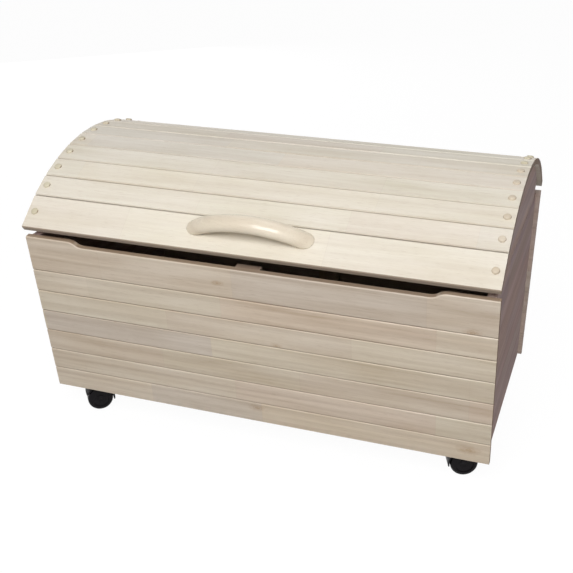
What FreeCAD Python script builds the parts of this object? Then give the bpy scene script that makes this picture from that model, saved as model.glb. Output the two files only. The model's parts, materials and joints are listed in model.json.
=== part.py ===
"""A toy chest with leaning board walls, an arched slatted lid and four twin-wheel casters.

Millimetres. X runs along the chest, Y from front to back and Z up. The origin is on the floor
under the middle of the chest: the front faces -Y and the wheels stand on Z = 0.
"""
import FreeCAD, Part
import Sketcher
import math
import os

Vector = FreeCAD.Vector
Rotation = FreeCAD.Rotation
Placement = FreeCAD.Placement

X_AXIS = Vector(1, 0, 0)
Y_AXIS = Vector(0, 1, 0)
Z_AXIS = Vector(0, 0, 1)

doc = FreeCAD.newDocument("toy_chest")
sheet = doc.addObject("Spreadsheet::Sheet", "Sizes")

DRIVING_SIZES = {
    # boards of the walls and the lid
    "board_length": 850,
    "board_thickness": 11,
    "board_edge_bevel": 1.6,
    "wall_slat_width": 44.3,
    "wall_slat_gap": 0.7,
    "wall_slat_count": 6,
    "front_top_board_width": 70,
    "back_top_board_width": 76,
    "depth_at_top": 538,
    "depth_at_bottom": 432,
    # finger scoop in the front top board
    "scoop_end_inset": 83,
    "scoop_depth": 10,
    "scoop_ogee_length": 30,
    # end panels, floor and inner battens
    "end_panel_thickness": 15,
    "end_overhang": 8,
    "batten_width": 45,
    "batten_thickness": 11,
    "floor_thickness": 8,
    "floor_clearance": 0.5,
    "bearer_width": 100,
    "bearer_thickness": 18,
    # arched lid: the narrow slats share what the wide ones leave of the arch
    "lid_arch_half_degrees": 44.6,
    "lid_edge_overhang": 1.3,
    "lid_slat_gap": 0.4,
    "lid_slat_count": 10,
    "lid_wide_slat_width": 67,
    "finger_gap": 12,
    "lid_rest_gap": 0.4,
    "lid_end_overhang": 9,
    "lid_tip_setback": 30,
    # domed buttons on the lid
    "button_diameter": 13,
    "button_height": 3.6,
    "button_bevel": 2.3,
    "button_sides": 9,
    "button_inset": 14,
    # bowed grip
    "grip_width": 32,
    "grip_thickness": 22,
    "grip_bow_radius": 164.3,
    "grip_bow_height": 32,
    "grip_sides": 10,
    "grip_rise_on_slat": 43,
    # hinge rails and butt hinges
    "rail_depth": 20,
    "rail_height": 40,
    "hinge_length": 60,
    "hinge_end_inset": 122,
    "hinge_leaf_width": 24,
    "hinge_leaf_thickness": 1.5,
    "hinge_knuckle_diameter": 6,
    "hinge_pin_diameter": 3,
    "hinge_pin_clearance": 0.05,
    "hinge_setout": 0.3,
    "hinge_knuckle_gap": 0.4,
    # casters
    "caster_height": 60,
    "caster_end_inset": 16.9,
    "caster_plate_width": 58,
    "caster_plate_thickness": 2.5,
    "caster_plate_corner": 6,
    "caster_stem_diameter": 11,
    "caster_stem_length": 33,
    "caster_stem_clearance": 0.1,
    "caster_trail": 18,
    "wheel_diameter": 50,
    "wheel_width": 16,
    "wheel_spacing": 18,
    "wheel_bore_clearance": 0.1,
    "axle_diameter": 6,
    "axle_length": 42,
    "axle_end_gap": 1.5,
    "hood_thickness": 2.5,
    "hood_gap": 1.5,
    "web_thickness": 16,
    "boss_length": 17,
    "boss_foot_height": 20,
    "swivel_gap": 1,
}

for row, (alias, number) in enumerate(DRIVING_SIZES.items(), start=1):
    sheet.set(f"A{row}", alias)
    sheet.set(f"B{row}", str(number))
    sheet.setAlias(f"B{row}", alias)
doc.recompute()


def size(alias):
    """The value of one cell of the sheet."""
    return float(sheet.get(alias))


def value_of(expression):
    """The number that an expression on the sheet gives."""
    result = sheet.evalExpression(expression)
    return float(getattr(result, "Value", result))


def origin_feature(body, role):
    """One of a body's own origin planes or axes."""
    for feature in body.Origin.OriginFeatures:
        if feature.Role == role:
            return feature
    raise ValueError(role)


def new_body(label):
    body = doc.addObject("PartDesign::Body", label)
    body.Label = label
    return body


def new_sketch(body, name, plane, offset="0"):
    """A sketch on one of the body's origin planes, or that far along its normal."""
    sketch = body.newObject("Sketcher::SketchObject", name)
    sketch.AttachmentSupport = [(origin_feature(body, plane), "")]
    sketch.MapMode = "FlatFace"
    sketch.setExpression("AttachmentOffset.Base.z", offset)
    return sketch


def draw_rectangle(sketch, left, right, bottom, top):
    """A rectangle whose four sides are expressions on the sheet."""
    x0, x1, y0, y1 = (value_of(side) for side in (left, right, bottom, top))
    corners = [Vector(x0, y0), Vector(x1, y0), Vector(x1, y1), Vector(x0, y1)]
    first = sketch.GeometryCount
    for index in range(4):
        sketch.addGeometry(Part.LineSegment(corners[index], corners[(index + 1) % 4]))
    for index in range(4):
        following = first + (index + 1) % 4
        sketch.addConstraint(Sketcher.Constraint("Coincident", first + index, 2, following, 1))
        kind = "Horizontal" if index % 2 == 0 else "Vertical"
        sketch.addConstraint(Sketcher.Constraint(kind, first + index))
    for kind, point, number, expression in (
        ("DistanceX", first, x0, left),
        ("DistanceX", first + 2, x1, right),
        ("DistanceY", first, y0, bottom),
        ("DistanceY", first + 2, y1, top),
    ):
        place = sketch.addConstraint(Sketcher.Constraint(kind, -1, 1, point, 1, number))
        sketch.setExpression(f"Constraints[{place}]", expression)


def draw_circle(sketch, x, y, diameter):
    """A circle whose centre and diameter are expressions on the sheet."""
    centre = Vector(value_of(x), value_of(y))
    circle = sketch.addGeometry(Part.Circle(centre, Z_AXIS, value_of(diameter) / 2))
    for kind, number, expression in (("DistanceX", centre.x, x), ("DistanceY", centre.y, y)):
        place = sketch.addConstraint(Sketcher.Constraint(kind, -1, 1, circle, 3, number))
        sketch.setExpression(f"Constraints[{place}]", expression)
    place = sketch.addConstraint(Sketcher.Constraint("Diameter", circle, value_of(diameter)))
    sketch.setExpression(f"Constraints[{place}]", diameter)


def draw_polygon(sketch, points):
    """A closed outline of straight sides through (x, y) points."""
    corners = [Vector(x, y) for x, y in points]
    for start, end in zip(corners, corners[1:] + corners[:1]):
        sketch.addGeometry(Part.LineSegment(start, end))


def draw_regular_polygon(sketch, centre_y, corner_radius, sides, flattening=1):
    """An even polygon with a flat side up, centred on the sketch's upright axis, or a flattened one."""
    corners = []
    for number in range(sides):
        angle = math.pi / 2 + (2 * number + 1) * math.pi / sides
        rise = flattening * corner_radius * math.sin(angle)
        corners.append((corner_radius * math.cos(angle), centre_y + rise))
    draw_polygon(sketch, corners)


def draw_arc(sketch, centre, radius, start_degrees, end_degrees):
    """An arc that runs anticlockwise between two angles."""
    circle = Part.Circle(Vector(*centre), Z_AXIS, radius)
    start, end = math.radians(start_degrees), math.radians(end_degrees)
    sketch.addGeometry(Part.ArcOfCircle(circle, start, end))


def draw_line(sketch, start, end):
    sketch.addGeometry(Part.LineSegment(Vector(*start), Vector(*end)))


def pad(body, sketch, length, symmetric=False):
    """Pad a sketch by an expression on the sheet, along its normal or to both sides."""
    feature = body.newObject("PartDesign::Pad", sketch.Name + "_pad")
    feature.Profile = sketch
    feature.SideType = "Symmetric" if symmetric else "One side"
    feature.setExpression("Length", length)
    sketch.Visibility = False
    doc.recompute()
    return feature


def pocket(body, sketch, length=None, reverse=False):
    """Cut a sketch out, right through or by an expression, and check that it removes material."""
    before = body.Shape.Volume
    feature = body.newObject("PartDesign::Pocket", sketch.Name + "_pocket")
    feature.Profile = sketch
    feature.Reversed = reverse
    if length is None:
        feature.Type = "ThroughAll"
    else:
        feature.setExpression("Length", length)
    doc.recompute()
    if body.Shape.Volume >= before:
        raise ValueError(f"{feature.Name} cuts nothing")
    return feature


def revolve(body, sketch, axis, degrees=360, midplane=False):
    feature = body.newObject("PartDesign::Revolution", sketch.Name + "_turn")
    feature.Profile = sketch
    feature.ReferenceAxis = (sketch, [axis])
    feature.Angle = degrees
    feature.Midplane = midplane
    doc.recompute()
    return feature


def bevel_edges(body, width, wanted):
    """Chamfer the edges of the body's tip that the test picks."""
    base = body.Tip
    names = [f"Edge{place}" for place, edge in enumerate(base.Shape.Edges, start=1) if wanted(edge)]
    feature = body.newObject("PartDesign::Chamfer", body.Name + "_bevel")
    feature.Base = (base, names)
    feature.setExpression("Size", width)
    doc.recompute()
    return feature


def group(label, master, placements):
    """Separate copies of one piece that share a node."""
    copies = []
    for place in placements:
        copy = master.Shape.copy()
        copy.Placement = place.multiply(copy.Placement)
        copies.append(copy)
    feature = doc.addObject("Part::Feature", label)
    feature.Label = label
    feature.Shape = Part.makeCompound(copies)
    return feature


def turned(axis, degrees):
    return Placement(Vector(), Rotation(axis, degrees))


def moved(x, y, z):
    return Placement(Vector(x, y, z), Rotation())


# sizes that follow from the driving ones
board = size("board_thickness")
half_length = size("board_length") / 2
base_z = size("caster_height")
wall_pitch = size("wall_slat_width") + size("wall_slat_gap")
wall_slats_rise = size("wall_slat_count") * wall_pitch
wall_rise = wall_slats_rise + size("front_top_board_width")
lean = math.asin((size("depth_at_top") - size("depth_at_bottom")) / 2 / wall_rise)
lean_degrees = math.degrees(lean)
end_top_z = base_z + wall_rise * math.cos(lean) + board * math.sin(lean)
back_rise = wall_slats_rise + size("back_top_board_width")
back_top_z = base_z + back_rise * math.cos(lean) + board * math.sin(lean)
end_outer_x = half_length - size("end_overhang")
end_inner_x = end_outer_x - size("end_panel_thickness")
lid_end_outer_x = half_length - size("lid_end_overhang")
lid_end_inner_x = lid_end_outer_x - size("end_panel_thickness")
floor_top_z = base_z + size("bearer_thickness") + size("floor_thickness")


def wall_inner_y(z):
    """How far the inner face of the front or back boards is from the middle, at a height."""
    outer_y = size("depth_at_bottom") / 2 + (z - base_z) * math.tan(lean)
    return outer_y - board / math.cos(lean)


bearer_half_length = wall_inner_y(base_z) - size("floor_clearance")


def wall_place(rise, side):
    """The frame of a wall board: X along it, Y up the wall, Z out of its outer face."""
    foot = moved(0, -size("depth_at_bottom") / 2, base_z)
    tilt = turned(X_AXIS, 90 + lean_degrees)
    front = foot.multiply(tilt).multiply(moved(0, rise, -board))
    return front if side == "front" else turned(Z_AXIS, 180).multiply(front)


# Boards

def lies_on_outer_face(edge):
    """Whether an edge is a long edge of a board's outer face, or part of its scoop."""
    box = edge.BoundBox
    return box.ZMin > board - 0.01 and box.XLength > 0.01


def make_board(label, width):
    """A board with its inner face on Z = 0 and its width, an expression, across Y."""
    body = new_body(label)
    section = new_sketch(body, label + "_section", "YZ_Plane")
    draw_rectangle(section, f"-({width}) / 2", f"({width}) / 2", "0", "Sizes.board_thickness")
    pad(body, section, "Sizes.board_length", symmetric=True)
    return body


def cut_scoop(body):
    """The long finger scoop in a board's upper edge, with an ogee at each end."""
    sketch = new_sketch(body, body.Name + "_scoop", "XY_Plane")
    run, drop = size("scoop_ogee_length"), size("scoop_depth")
    radius = (run**2 + drop**2) / (4 * drop)
    bend = math.degrees(2 * math.atan(drop / run))
    edge_y = size("front_top_board_width") / 2
    shoulder_x = half_length - size("scoop_end_inset")
    floor_x = shoulder_x - run
    floor_y = edge_y - drop
    draw_arc(sketch, (shoulder_x, edge_y - radius), radius, 90, 90 + bend)
    draw_arc(sketch, (floor_x, floor_y + radius), radius, 270, 270 + bend)
    draw_line(sketch, (floor_x, floor_y), (-floor_x, floor_y))
    draw_arc(sketch, (-floor_x, floor_y + radius), radius, 270 - bend, 270)
    draw_arc(sketch, (-shoulder_x, edge_y - radius), radius, 90 - bend, 90)
    draw_line(sketch, (-shoulder_x, edge_y), (shoulder_x, edge_y))
    pocket(body, sketch, reverse=True)


def make_wall(side, top_board_width):
    """Six narrow boards and a wide top board, from the bottom up."""
    for number in range(1, int(size("wall_slat_count")) + 1):
        slat = make_board(f"{side}_slat_{number}", "Sizes.wall_slat_width")
        bevel_edges(slat, "Sizes.board_edge_bevel", lies_on_outer_face)
        slat.Placement = wall_place((number - 1) * wall_pitch + size("wall_slat_width") / 2, side)
        nodes.append(slat)
    top_board = make_board(f"{side}_top_board", f"Sizes.{top_board_width}")
    if side == "front":
        cut_scoop(top_board)
    bevel_edges(top_board, "Sizes.board_edge_bevel", lies_on_outer_face)
    top_board.Placement = wall_place(wall_slats_rise + size(top_board_width) / 2, side)
    nodes.append(top_board)


# Carcass

def make_end_panel(label, inner_x):
    """An upright panel whose slanted edges carry the boards of the front and back walls."""
    body = new_body(label)
    outline = new_sketch(body, label + "_outline", "YZ_Plane")
    foot, head = wall_inner_y(base_z), wall_inner_y(end_top_z)
    draw_polygon(outline, [(-foot, base_z), (foot, base_z), (head, end_top_z), (-head, end_top_z)])
    pad(body, outline, "Sizes.end_panel_thickness")
    body.Placement = moved(inner_x, 0, 0)
    nodes.append(body)


def make_batten(side, top_rise):
    """A flat batten up the middle of a wall's inner face, from its foot to a height up the wall."""
    label = f"{side}_centre_batten"
    batten = doc.addObject("Part::Box", label)
    batten.Label = label
    batten.setExpression("Length", "Sizes.batten_width")
    batten.setExpression("Height", "Sizes.batten_thickness")
    batten.Width = top_rise
    corner = moved(-size("batten_width") / 2, 0, -size("batten_thickness"))
    batten.Placement = wall_place(0, side).multiply(corner)
    nodes.append(batten)


def make_battens():
    """The front batten ends at the foot of the scoop and the back one under the hinge rail."""
    make_batten("front", wall_rise - size("scoop_depth"))
    rail_foot_z = back_top_z - size("rail_height")
    rail_foot_rise = (rail_foot_z - base_z - board * math.sin(lean)) / math.cos(lean)
    make_batten("back", rail_foot_rise - size("batten_thickness") * math.tan(lean))


def make_floor():
    """The floor lies on the bearers and is notched round the feet of the two centre battens."""
    clearance = size("floor_clearance")
    underside_z = floor_top_z - size("floor_thickness")
    end_x = end_inner_x - clearance
    edge_y = wall_inner_y(underside_z) - clearance
    notch_x = size("batten_width") / 2 + clearance
    notch_y = edge_y - size("batten_thickness") / math.cos(lean)
    front = [(-end_x, -edge_y), (-notch_x, -edge_y), (-notch_x, -notch_y)]
    front += [(-x, y) for x, y in reversed(front)]
    back = [(-x, -y) for x, y in front]
    body = new_body("floor_panel")
    outline = new_sketch(body, "floor_outline", "XY_Plane")
    draw_polygon(outline, front + back)
    pad(body, outline, "Sizes.floor_thickness")
    body.Placement = moved(0, 0, underside_z)
    nodes.append(body)


def make_bearers():
    """Two flat bearers across the chest, between the walls, that the caster plates are screwed to."""
    length = 2 * bearer_half_length
    bearers = []
    for end, left_x in (("left", -end_inner_x), ("right", end_inner_x - size("bearer_width"))):
        bearer = doc.addObject("Part::Box", f"bearer_{end}")
        bearer.setExpression("Length", "Sizes.bearer_width")
        bearer.Width = length
        bearer.setExpression("Height", "Sizes.bearer_thickness")
        bearer.Placement = moved(left_x, -length / 2, base_z)
        bearers.append(bearer)
    pair = doc.addObject("Part::Compound", "caster_bearers")
    pair.Label = "caster_bearers"
    pair.Links = bearers
    nodes.append(pair)


# Lid

ARCH_HALF = "(Sizes.lid_arch_half_degrees * 1 deg)"
SEAT_RADIUS = f"((Sizes.depth_at_top / 2 + Sizes.lid_edge_overhang) / sin({ARCH_HALF}))"
WIDE_SLAT = "Sizes.lid_wide_slat_width"
WIDE_HALF = f"asin(({WIDE_SLAT} + Sizes.lid_slat_gap) / 2 / {SEAT_RADIUS})"
NARROW_HALF = f"(({ARCH_HALF} - 2 * {WIDE_HALF}) / Sizes.lid_slat_count)"
NARROW_SLAT = f"(2 * {SEAT_RADIUS} * sin({NARROW_HALF}) - Sizes.lid_slat_gap)"

seat_radius = value_of(SEAT_RADIUS)
lid_half_angle = math.radians(size("lid_arch_half_degrees"))
lid_centre_z = end_top_z + size("finger_gap") - seat_radius * math.cos(lid_half_angle)


def lid_seats():
    """The flats under the lid slats from front to back: (slat width, angle of the middle, half angle)."""
    wide = (WIDE_SLAT, math.radians(value_of(WIDE_HALF)))
    narrow = (NARROW_SLAT, math.radians(value_of(NARROW_HALF)))
    angle = -lid_half_angle
    seats = []
    for width, half in [wide] + [narrow] * int(size("lid_slat_count")) + [wide]:
        seats.append((width, angle + half, half))
        angle += 2 * half
    return seats


SEATS = lid_seats()


def on_lid_circle(angle):
    """The (y, z) of a corner between two seats."""
    return seat_radius * math.sin(angle), lid_centre_z + seat_radius * math.cos(angle)


def seat_place(middle, half):
    """The frame of a seat: X along the lid, Z out of it."""
    reach = seat_radius * math.cos(half)
    centre = moved(0, reach * math.sin(middle), lid_centre_z + reach * math.cos(middle))
    return centre.multiply(turned(X_AXIS, -math.degrees(middle)))


def make_lid_end_board(label, inner_x):
    """An arched board with a flat for each slat, a straight foot and a cut-back tip at each end."""
    foot_z = end_top_z + size("lid_rest_gap")
    end_y, end_z = on_lid_circle(lid_half_angle)
    slope = SEATS[-1][1]
    tip_y = end_y - size("lid_tip_setback") * math.cos(slope)
    tip_z = end_z + size("lid_tip_setback") * math.sin(slope)
    foot_y = tip_y - (tip_z - foot_z) * math.tan(slope)
    corners = [on_lid_circle(middle + half) for _, middle, half in SEATS[:-1]]
    outline = [(-foot_y, foot_z), (-tip_y, tip_z)] + corners + [(tip_y, tip_z), (foot_y, foot_z)]
    body = new_body(label)
    sketch = new_sketch(body, label + "_outline", "YZ_Plane")
    draw_polygon(sketch, outline)
    pad(body, sketch, "Sizes.end_panel_thickness")
    body.Placement = moved(inner_x, 0, 0)
    nodes.append(body)


def make_buttons():
    """Domed wooden buttons that cover the slats' fixings, two to a slat."""
    master = new_body("button_master")
    outline = new_sketch(master, "button_outline", "XY_Plane")
    draw_regular_polygon(outline, 0, size("button_diameter") / 2, int(size("button_sides")))
    pad(master, outline, "Sizes.button_height")
    top_edge_z = size("button_height") - 0.01
    bevel_edges(master, "Sizes.button_bevel", lambda edge: edge.BoundBox.ZMin > top_edge_z)
    button_x = half_length - size("button_inset")
    places = []
    for _, middle, half in SEATS:
        for x in (-button_x, button_x):
            places.append(seat_place(middle, half).multiply(moved(x, 0, board)))
    nodes.append(group("lid_buttons", master, places))


# Grip

def grip_place():
    """The frame of the grip: its foot plane is the outer face of the front slat."""
    rise = size("grip_rise_on_slat") - size("lid_wide_slat_width") / 2
    _, middle, half = SEATS[0]
    return seat_place(middle, half).multiply(moved(0, rise, board))


def make_grip():
    """An oval bar bent to a bow and cut flat, so that each foot ends in a rounded taper."""
    body = new_body("lid_grip")
    sketch = new_sketch(body, "grip_section", "YZ_Plane")
    sides = int(size("grip_sides"))
    corner_radius = size("grip_width") / 2 / math.cos(math.pi / sides)
    flattening = size("grip_thickness") / size("grip_width")
    draw_regular_polygon(sketch, size("grip_bow_radius"), corner_radius, sides, flattening)
    revolve(body, sketch, "H_Axis", 180, midplane=True)
    flat = new_sketch(body, "grip_flat", "XZ_Plane")
    reach = "(Sizes.grip_bow_radius + Sizes.grip_width)"
    draw_rectangle(flat, "-" + reach, reach, "-" + reach, "Sizes.grip_bow_radius - Sizes.grip_bow_height")
    pocket_both_sides(body, flat)
    centre_drop = size("grip_bow_radius") - size("grip_bow_height")
    body.Placement = grip_place().multiply(moved(0, 0, -centre_drop))
    nodes.append(body)


def pocket_both_sides(body, sketch):
    """Cut a sketch out to both sides of its plane."""
    before = body.Shape.Volume
    feature = body.newObject("PartDesign::Pocket", sketch.Name + "_pocket")
    feature.Profile = sketch
    feature.SideType = "Symmetric"
    feature.Type = "ThroughAll"
    doc.recompute()
    if body.Shape.Volume >= before:
        raise ValueError(f"{feature.Name} cuts nothing")
    return feature


# Hinges

# the knuckles stand just behind the upper edge of the back wall, so the open lid hangs clear of it
back_edge_y = size("depth_at_bottom") / 2 + back_rise * math.sin(lean)
hinge_y = back_edge_y + size("hinge_setout") + size("hinge_knuckle_diameter") / 2
hinge_z = back_top_z + size("hinge_knuckle_diameter") / 2
hinge_x = end_inner_x - size("hinge_end_inset")
HINGE_PLACES = [moved(x, hinge_y, hinge_z) for x in (-hinge_x, hinge_x)]


def make_hinge_rails():
    """A rail inside the back wall and one under the back slat of the lid, that carry the hinges."""
    back_y = wall_inner_y(back_top_z)
    front_y = back_y - size("rail_depth")
    foot_z = back_top_z - size("rail_height")
    wall_outline = [
        (front_y, foot_z),
        (wall_inner_y(foot_z), foot_z),
        (back_y, back_top_z),
        (front_y, back_top_z),
    ]
    lid_foot_z = back_top_z + size("hinge_knuckle_diameter")
    end_y, end_z = on_lid_circle(lid_half_angle)
    slope = math.tan(SEATS[-1][1])
    lid_outline = [
        (front_y, lid_foot_z),
        (back_y, lid_foot_z),
        (back_y, end_z + (end_y - back_y) * slope),
        (front_y, end_z + (end_y - front_y) * slope),
    ]
    for label, outline, overhang in (
        ("wall_hinge_rail", wall_outline, "end_overhang"),
        ("lid_hinge_rail", lid_outline, "lid_end_overhang"),
    ):
        body = new_body(label)
        sketch = new_sketch(body, label + "_outline", "YZ_Plane")
        draw_polygon(sketch, outline)
        inside = f"Sizes.board_length - 2 * (Sizes.{overhang} + Sizes.end_panel_thickness)"
        pad(body, sketch, inside, symmetric=True)
        nodes.append(body)


def make_leaf(label, turn, keeps_middle):
    """A hinge leaf with its share of the knuckle: the middle third, or the two ends."""
    body = new_body(label)
    radius, leaf = size("hinge_knuckle_diameter") / 2, size("hinge_leaf_thickness")
    inner_z = leaf - radius
    contact_y = -math.sqrt(radius**2 - inner_z**2)
    end_angle = 180 + math.degrees(math.asin(-inner_z / radius))
    front_y = -size("hinge_leaf_width")
    section = new_sketch(body, label + "_section", "YZ_Plane")
    draw_arc(section, (0, 0), radius, -90, end_angle)
    draw_line(section, (contact_y, inner_z), (front_y, inner_z))
    draw_line(section, (front_y, inner_z), (front_y, -radius))
    draw_line(section, (front_y, -radius), (0, -radius))
    draw_circle(section, "0", "0", "Sizes.hinge_pin_diameter + 2 * Sizes.hinge_pin_clearance")
    pad(body, section, "Sizes.hinge_length", symmetric=True)
    notch = new_sketch(body, label + "_notch", "XY_Plane")
    reach = "(Sizes.hinge_knuckle_diameter / 2 + Sizes.hinge_knuckle_gap)"
    third = "Sizes.hinge_length / 6"
    if keeps_middle:
        inner = f"({third} - Sizes.hinge_knuckle_gap / 2)"
        draw_rectangle(notch, inner, "Sizes.hinge_length", "-" + reach, reach)
        draw_rectangle(notch, "-Sizes.hinge_length", "-" + inner, "-" + reach, reach)
    else:
        inner = f"({third} + Sizes.hinge_knuckle_gap / 2)"
        draw_rectangle(notch, "-" + inner, inner, "-" + reach, reach)
    pocket_both_sides(body, notch)
    return group(label.replace("_master", ""), body, [place.multiply(turn) for place in HINGE_PLACES])


def make_hinges():
    """Two butt hinges: the lid's leaf is the rail's leaf turned over, with the other knuckles."""
    nodes.append(make_leaf("hinge_base_leaves_master", Placement(), keeps_middle=False))
    nodes.append(make_leaf("hinge_lid_leaves_master", turned(Y_AXIS, 180), keeps_middle=True))
    pin = doc.addObject("Part::Cylinder", "hinge_pin_master")
    pin.setExpression("Radius", "Sizes.hinge_pin_diameter / 2")
    pin.setExpression("Height", "Sizes.hinge_length")
    pin.Placement = moved(-size("hinge_length") / 2, 0, 0).multiply(turned(Y_AXIS, 90))
    doc.recompute()
    nodes.append(group("hinge_pins", pin, HINGE_PLACES))


# Casters

caster_x = end_inner_x - size("bearer_width") / 2
caster_y = bearer_half_length - size("caster_end_inset") - size("caster_plate_width") / 2
CASTERS = {
    "front_left": (-caster_x, -caster_y),
    "front_right": (caster_x, -caster_y),
    "back_left": (-caster_x, caster_y),
    "back_right": (caster_x, caster_y),
}

# how far each caster has swivelled, from trailing towards +X
CASTER_HEADING_DEGREES = {"front_left": 218, "front_right": 20, "back_left": 150, "back_right": 205}

wheel_radius = size("wheel_diameter") / 2


def make_caster_plates():
    """Square plates with a swivel stem each."""
    master = new_body("caster_plate_master")
    outline = new_sketch(master, "caster_plate_outline", "XY_Plane", "Sizes.caster_height")
    half = "Sizes.caster_plate_width / 2"
    draw_rectangle(outline, "-" + half, half, "-" + half, half)
    plate = pad(master, outline, "Sizes.caster_plate_thickness")
    plate.Reversed = True
    doc.recompute()
    half_thickness = size("caster_plate_thickness") / 2
    bevel_edges(master, "Sizes.caster_plate_corner", lambda edge: edge.BoundBox.ZLength > half_thickness)
    stem = new_sketch(master, "caster_stem", "XY_Plane", "Sizes.caster_height - Sizes.caster_plate_thickness")
    draw_circle(stem, "0", "0", "Sizes.caster_stem_diameter")
    pin = pad(master, stem, "Sizes.caster_stem_length")
    pin.Reversed = True
    doc.recompute()
    nodes.append(group("caster_plates", master, [moved(x, y, 0) for x, y in CASTERS.values()]))


def make_hood():
    """The swivelling hood: a web between the wheels, a band of flats over them and a boss for the stem."""
    master = new_body("caster_hood_master")
    inner = wheel_radius + size("hood_gap")
    outer = inner + size("hood_thickness")
    hub = size("axle_diameter") * 1.5

    def about_axle(radius, degrees):
        angle = math.radians(degrees)
        return size("caster_trail") + radius * math.cos(angle), wheel_radius + radius * math.sin(angle)

    turns = [HOOD_START_DEGREES + number * HOOD_FLAT_DEGREES for number in range(HOOD_FLAT_COUNT + 1)]
    outer_corners = [about_axle(outer, turn) for turn in turns]
    inner_corners = [about_axle(inner, turn) for turn in turns]
    web = new_sketch(master, "caster_web", "XZ_Plane")
    draw_polygon(web, outer_corners + [about_axle(hub, 240), about_axle(hub, 300)])
    pad(master, web, "Sizes.web_thickness", symmetric=True)
    band = new_sketch(master, "caster_band", "XZ_Plane")
    draw_polygon(band, outer_corners + inner_corners[::-1])
    pad(master, band, "Sizes.wheel_spacing + 2 * Sizes.wheel_width", symmetric=True)
    boss = new_sketch(master, "caster_boss", "XZ_Plane")
    plate_z = "(Sizes.caster_height - Sizes.caster_plate_thickness)"
    half = "Sizes.boss_length / 2"
    draw_rectangle(boss, "-" + half, half, "Sizes.boss_foot_height", f"{plate_z} - Sizes.swivel_gap")
    pad(master, boss, "Sizes.web_thickness", symmetric=True)
    bore = new_sketch(master, "caster_stem_bore", "XY_Plane", plate_z)
    draw_circle(bore, "0", "0", "Sizes.caster_stem_diameter + 2 * Sizes.caster_stem_clearance")
    pocket(master, bore, "Sizes.caster_stem_length + Sizes.swivel_gap")
    hole = new_sketch(master, "caster_axle_hole", "XZ_Plane")
    draw_circle(hole, "Sizes.caster_trail", "Sizes.wheel_diameter / 2", AXLE_HOLE)
    pocket_both_sides(master, hole)
    return master


# the hood's band starts ahead of the axle and runs over the wheels to behind it
HOOD_START_DEGREES = 30
HOOD_FLAT_DEGREES = 20
HOOD_FLAT_COUNT = 8
AXLE_HOLE = "Sizes.axle_diameter + Sizes.wheel_bore_clearance"


def make_wheel():
    """A solid wheel with a blind bore in its inner face."""
    master = new_body("wheel_master")
    disc = new_sketch(master, "wheel_disc", "XY_Plane")
    draw_circle(disc, "0", "0", "Sizes.wheel_diameter")
    pad(master, disc, "Sizes.wheel_width")
    bore = new_sketch(master, "wheel_bore", "XY_Plane")
    draw_circle(bore, "0", "0", "Sizes.axle_diameter + 2 * Sizes.wheel_bore_clearance")
    depth = "(Sizes.axle_length - Sizes.wheel_spacing) / 2 + Sizes.axle_end_gap"
    pocket(master, bore, depth, reverse=True)
    return master


def make_casters():
    """A hood, an axle and two wheels at each corner, all in the caster's own swivelled frame."""
    make_caster_plates()
    hood = make_hood()
    wheel = make_wheel()
    axle = doc.addObject("Part::Cylinder", "axle_master")
    axle.setExpression("Radius", "Sizes.axle_diameter / 2")
    axle.setExpression("Height", "Sizes.axle_length")
    axle.Placement = moved(0, size("axle_length") / 2, 0).multiply(turned(X_AXIS, 90))
    doc.recompute()
    wheel_side = size("wheel_spacing") / 2
    for name, (x, y) in CASTERS.items():
        swivel = moved(x, y, 0).multiply(turned(Z_AXIS, CASTER_HEADING_DEGREES[name]))
        on_axle = swivel.multiply(moved(size("caster_trail"), 0, wheel_radius))
        nodes.append(group(f"caster_hood_{name}", hood, [swivel]))
        nodes.append(group(f"caster_axle_{name}", axle, [on_axle]))
        for number, sign in ((1, 1), (2, -1)):
            place = on_axle.multiply(moved(0, sign * wheel_side, 0)).multiply(turned(X_AXIS, -90 * sign))
            nodes.append(group(f"caster_wheel_{name}_{number}", wheel, [place]))


# the chest from the floor up, then its lid
nodes = []
make_casters()
make_bearers()
make_floor()
make_end_panel("end_panel_left", -end_outer_x)
make_end_panel("end_panel_right", end_inner_x)
make_wall("front", "front_top_board_width")
make_wall("back", "back_top_board_width")
make_battens()
make_hinge_rails()
make_hinges()
make_lid_end_board("lid_end_board_left", -lid_end_outer_x)
make_lid_end_board("lid_end_board_right", lid_end_inner_x)
for position, (slat_width, seat_middle, seat_half) in enumerate(SEATS):
    if position == 0:
        slat_label = "lid_front_slat"
    elif position == len(SEATS) - 1:
        slat_label = "lid_back_slat"
    else:
        slat_label = f"lid_slat_{position}"
    lid_slat = make_board(slat_label, slat_width)
    bevel_edges(lid_slat, "Sizes.board_edge_bevel", lies_on_outer_face)
    lid_slat.Placement = seat_place(seat_middle, seat_half)
    nodes.append(lid_slat)
make_buttons()
make_grip()

doc.recompute()
for feature in doc.Objects:
    if "Invalid" in feature.State or "Error" in feature.State:
        raise ValueError(f"{feature.Label} failed: {feature.State}")
for node in nodes:
    if node.Shape.isNull() or not node.Shape.isValid():
        raise ValueError(f"{node.Label} has no valid shape")

os.makedirs("parts", exist_ok=True)
for node in nodes:
    node.Shape.exportStep(f"parts/{node.Label}.step")
print(len(nodes), "pieces")
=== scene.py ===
import bpy
import json
import math
from mathutils import Matrix, Vector


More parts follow.
